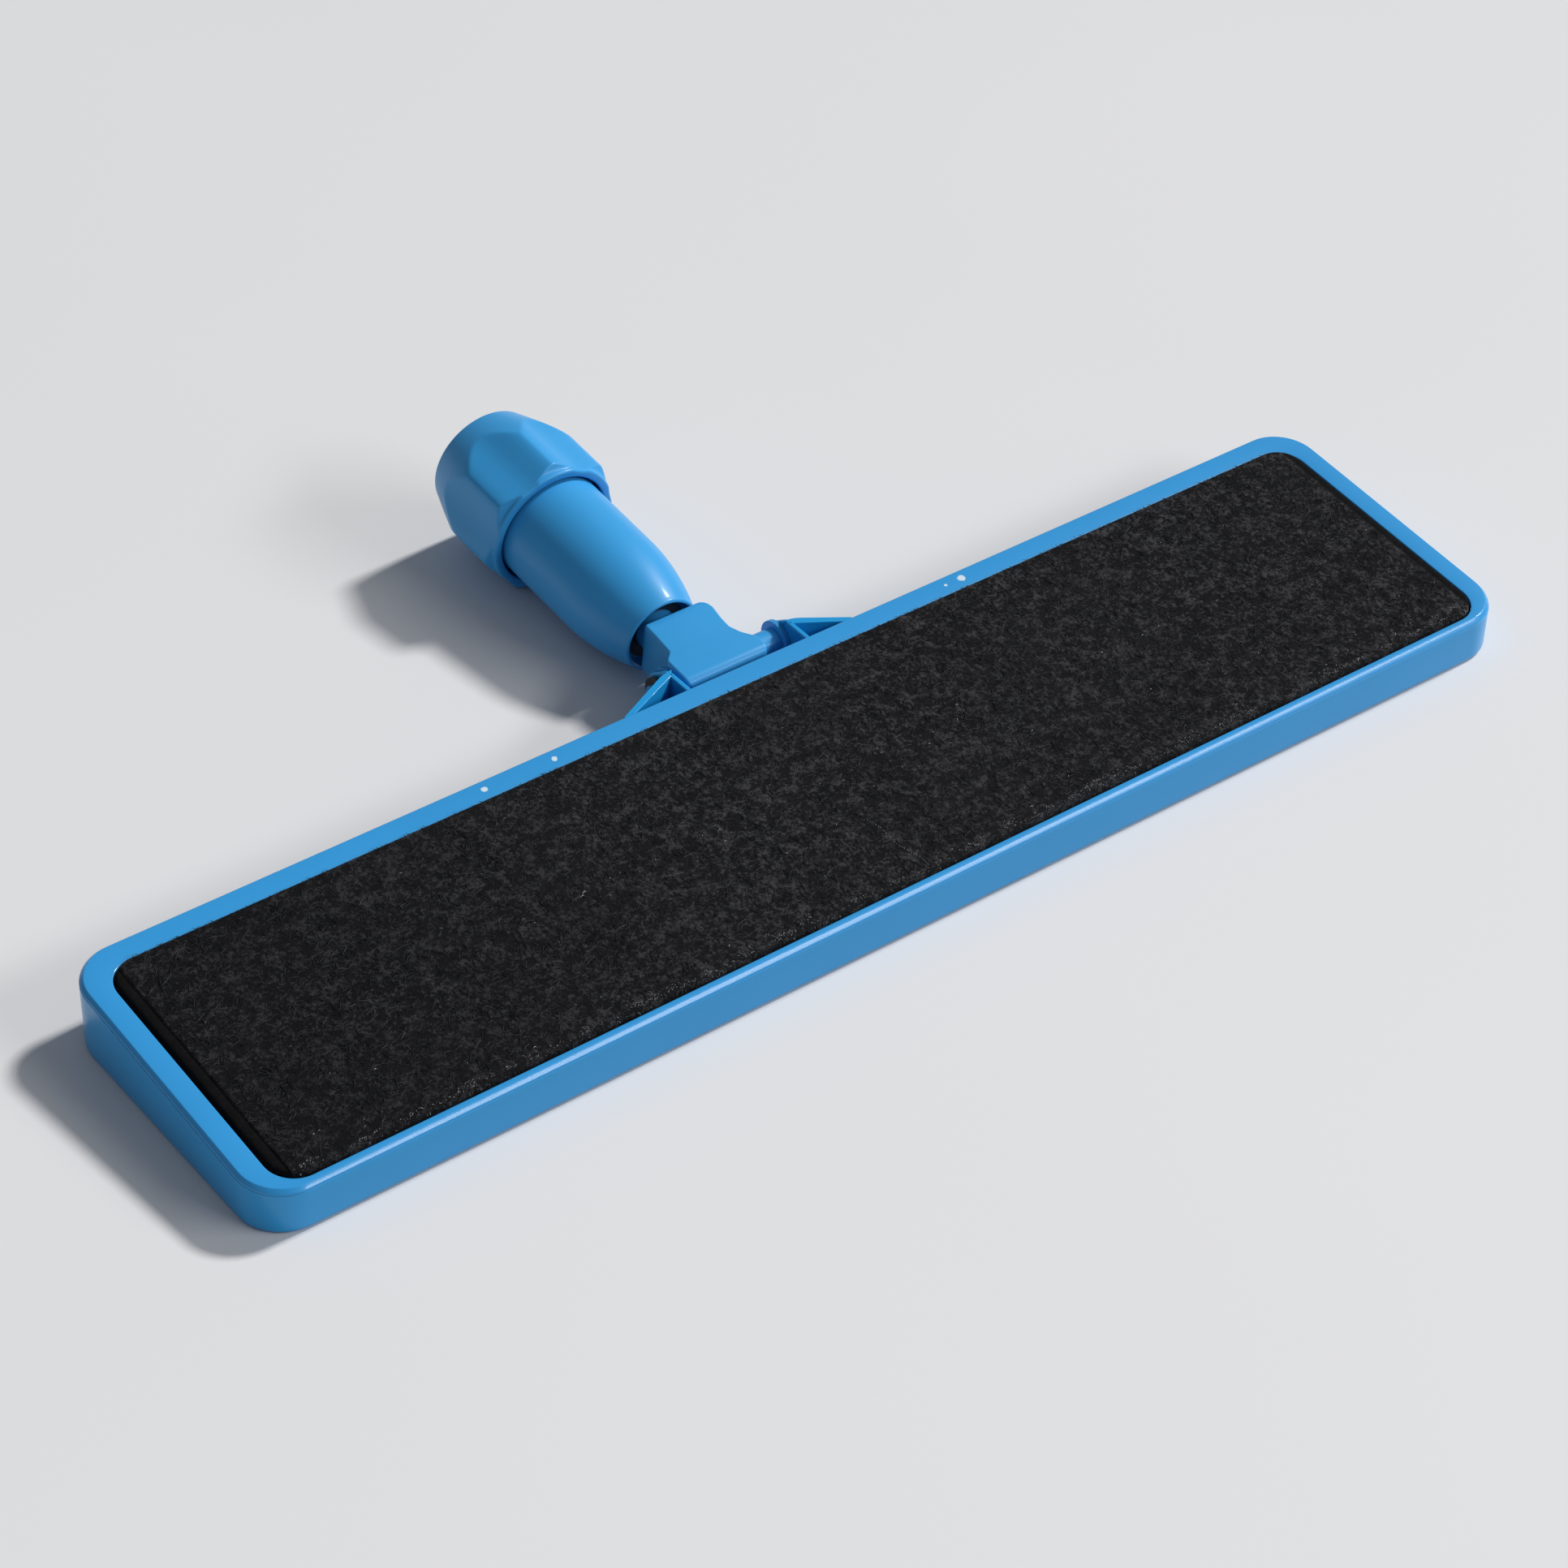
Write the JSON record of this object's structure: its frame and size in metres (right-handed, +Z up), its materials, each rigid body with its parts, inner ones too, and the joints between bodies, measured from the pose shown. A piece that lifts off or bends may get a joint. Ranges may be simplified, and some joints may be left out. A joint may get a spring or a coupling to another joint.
{
  "type": "pool wall brush",
  "caption": "Wedge-shaped pool scrubbing head with a black felt pad, a tilting swivel connector and a screw collar that grips a telescopic pole.",
  "frame": {"origin": "on the floor under the middle of the scrubbing pad, on the back cover's flat face", "axes": "+X along the head, +Y from the head towards the pole, +Z up out of the pad's side"},
  "size_m": [0.457, 0.2392, 0.0502],
  "materials": {
    "blue_plastic": "satin",
    "connector_plastic": "satin",
    "felt": "fibrous",
    "foam": "closed-cell foam",
    "hook": "hook sheet",
    "steel": "bright",
    "acetal": "smooth",
    "seal": "smooth"
  },
  "bodies": {
    "head": {"head_body": "blue_plastic", "bezel_frame": "blue_plastic", "foam_cushion": "foam", "hook_sheet": "hook", "scrub_pad": "felt", "back_cover": "blue_plastic", "cover_screws": "steel", "hinge_pin": "steel", "pin_clip": "steel", "friction_washers": "connector_plastic", "spacer_sleeve": "connector_plastic"},
    "swivel": {"swivel_block": "connector_plastic", "knuckle_bushes": "acetal", "swivel_washer": "steel", "swivel_screw": "steel"},
    "barrel": {"socket_barrel": "connector_plastic", "swivel_bush": "acetal", "sealing_ring": "seal"},
    "gripper": {"thrust_bush": "acetal", "clinch_ring": "acetal"},
    "collar": {"collar_nut": "connector_plastic"}
  },
  "joints": [
    {"name": "head_tilt", "type": "hinge", "parent": "head", "child": "swivel", "pos_m": [0.0015, 0.0687, 0.015], "axis": [1, 0, 0], "range_deg": [-86, 78]},
    {"name": "socket_swivel", "type": "hinge", "parent": "swivel", "child": "barrel", "pos_m": [0.0015, 0.1095, 0.019], "axis": [0, 0.9952, 0.0976], "continuous": true},
    {"name": "gripper_travel", "type": "slide", "parent": "barrel", "child": "gripper", "axis": [0, 0.9952, 0.0976], "range_m": [-0.0024, 0.003]},
    {"name": "collar_turn", "type": "hinge", "parent": "gripper", "child": "collar", "pos_m": [0.0015, 0.16325, 0.02427], "axis": [0, 0.9952, 0.0976], "range_deg": [-288, 360]}
  ],
  "couplings": [
    {"joint": "collar_turn", "follows": "gripper_travel", "rad_per_m": 2094.4}
  ]
}
